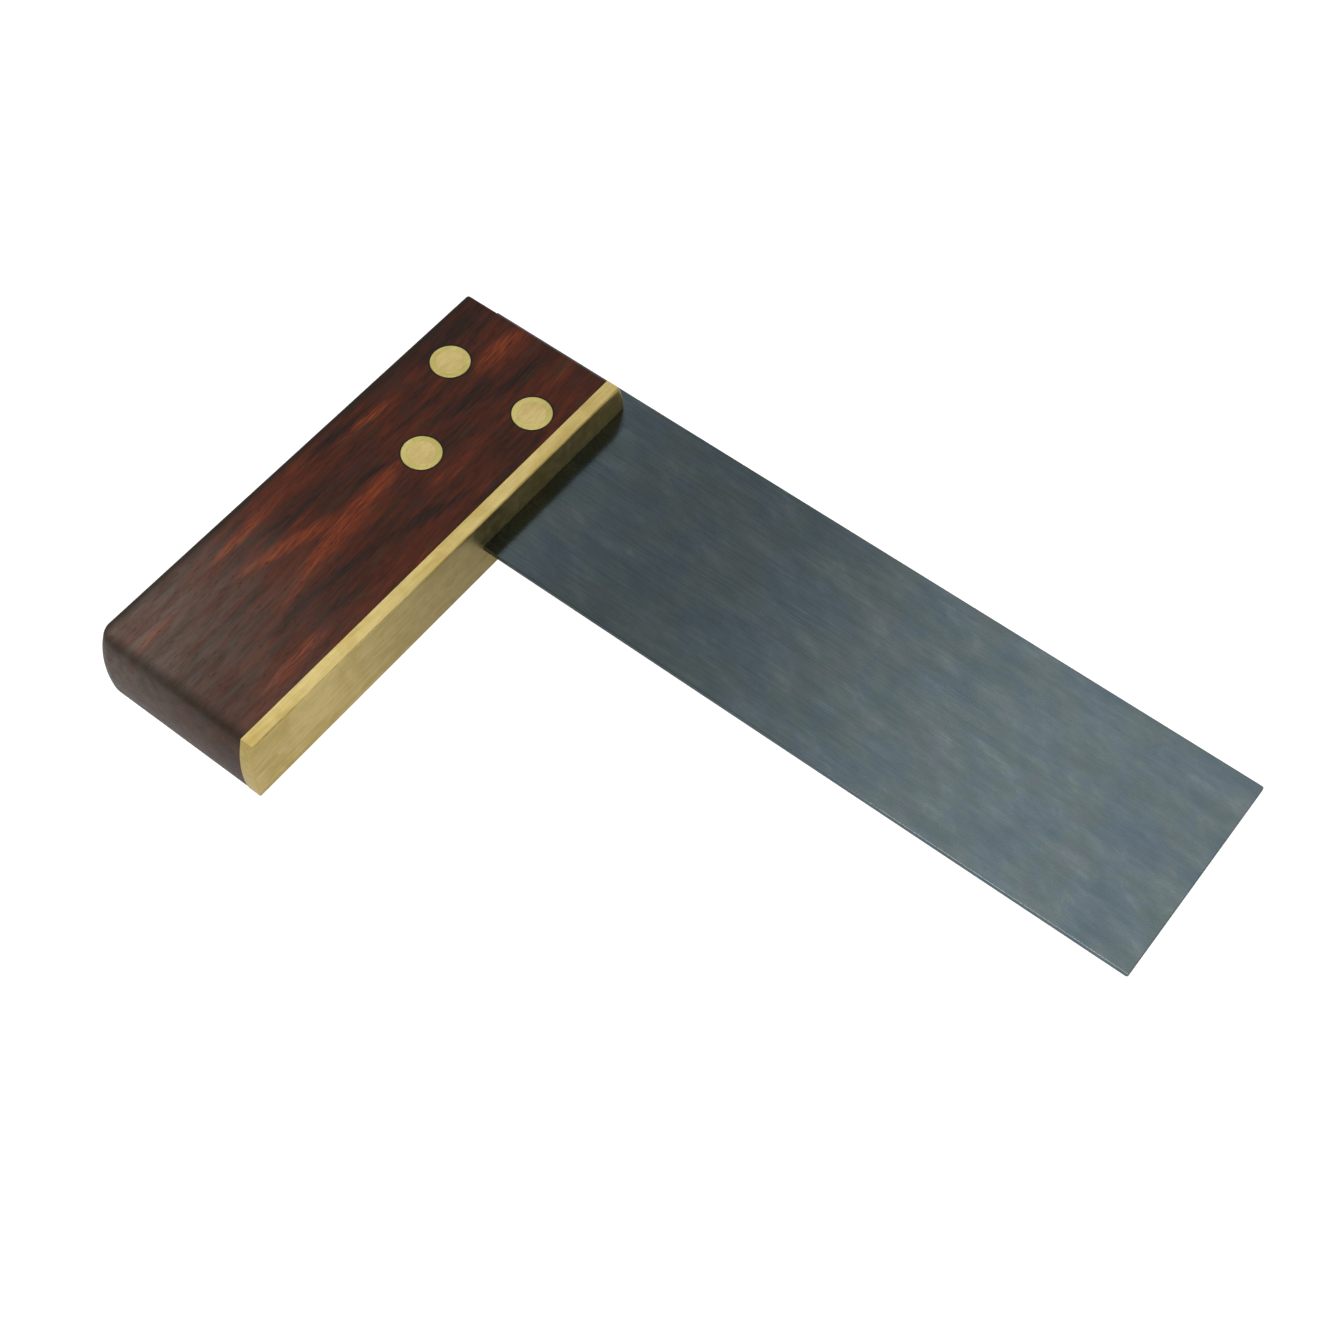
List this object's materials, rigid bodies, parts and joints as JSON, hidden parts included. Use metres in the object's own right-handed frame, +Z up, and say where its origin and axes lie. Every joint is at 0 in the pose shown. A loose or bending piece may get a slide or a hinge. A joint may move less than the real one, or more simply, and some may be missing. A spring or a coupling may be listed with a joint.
{
  "type": "try square",
  "caption": "Try square with a brass-faced rosewood stock and a flat steel blade riveted in at a right angle.",
  "frame": {"origin": "the inside corner of the square, where the blade's inner edge meets the plane of the brass working face, at the level of the stock's underside", "axes": "+X along the blade towards its tip, square to the working face; +Y along the stock towards the end that holds the blade; +Z up through the thickness, with the square lying flat"},
  "size_m": [0.1923, 0.1152, 0.0167],
  "materials": {
    "rosewood": "oiled dark rosewood",
    "face_brass": "fine ground, satin",
    "rivet_brass": "filed flush, satin",
    "blued_steel": "blue-grey tempered, brushed lengthwise"
  },
  "bodies": {
    "root": {"stock": "rosewood", "face_plate": "face_brass", "blade": "blued_steel", "rivet_pin_1": "rivet_brass", "rivet_pin_2": "rivet_brass", "rivet_pin_3": "rivet_brass", "upper_washer_1": "rivet_brass", "upper_washer_2": "rivet_brass", "upper_washer_3": "rivet_brass", "lower_washer_1": "rivet_brass", "lower_washer_2": "rivet_brass", "lower_washer_3": "rivet_brass", "face_pin_1": "face_brass", "face_pin_2": "face_brass", "face_pin_3": "face_brass", "face_pin_4": "face_brass", "face_pin_5": "face_brass", "face_pin_6": "face_brass", "face_pin_7": "face_brass"}
  },
  "joints": []
}
